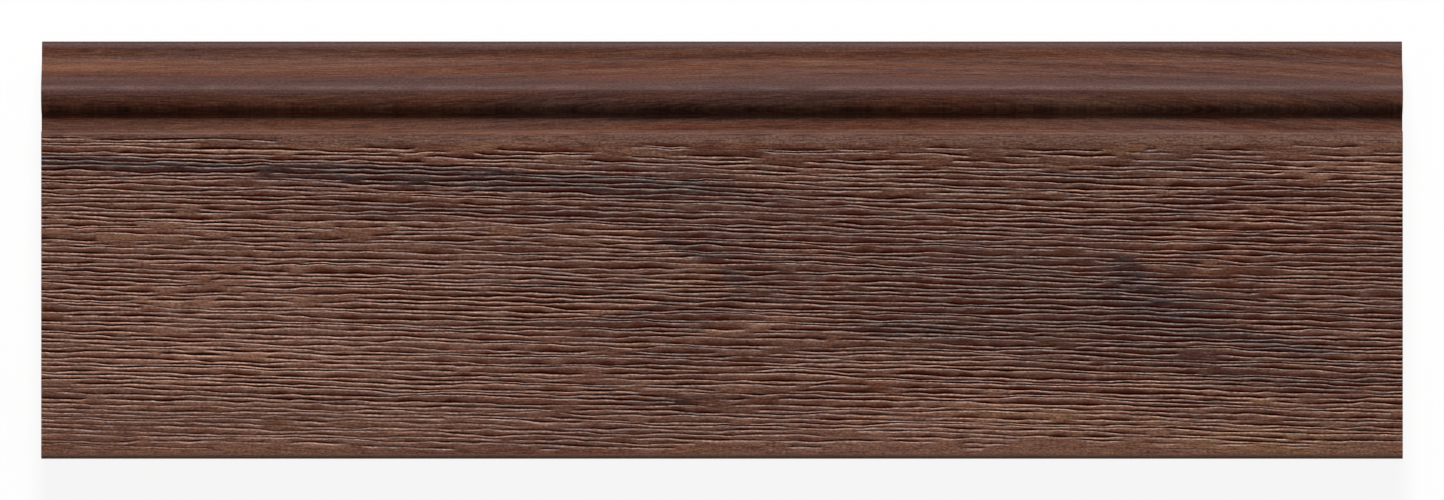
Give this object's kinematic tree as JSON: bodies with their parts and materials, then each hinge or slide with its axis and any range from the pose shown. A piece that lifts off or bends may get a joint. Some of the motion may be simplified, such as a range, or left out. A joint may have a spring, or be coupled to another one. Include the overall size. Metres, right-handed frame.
{
  "type": "skirting board",
  "caption": "Straight length of skirting board with an ogee moulded top edge, a narrow fillet under it, a plain face with a rounded floor edge, and a back with shallow relief channels.",
  "frame": {"origin": "centre of the back, on the plane of its bearing lands, where the board lies on a level floor", "axes": "+X along the length, +Y across the height towards the moulded top edge, +Z out of the face"},
  "size_m": [0.326, 0.1, 0.015],
  "materials": {
    "board": "satin dark walnut grain, embossed with fine lengthwise ridges on the plain face"
  },
  "bodies": {
    "root": {"skirting_board": "board"}
  },
  "joints": []
}
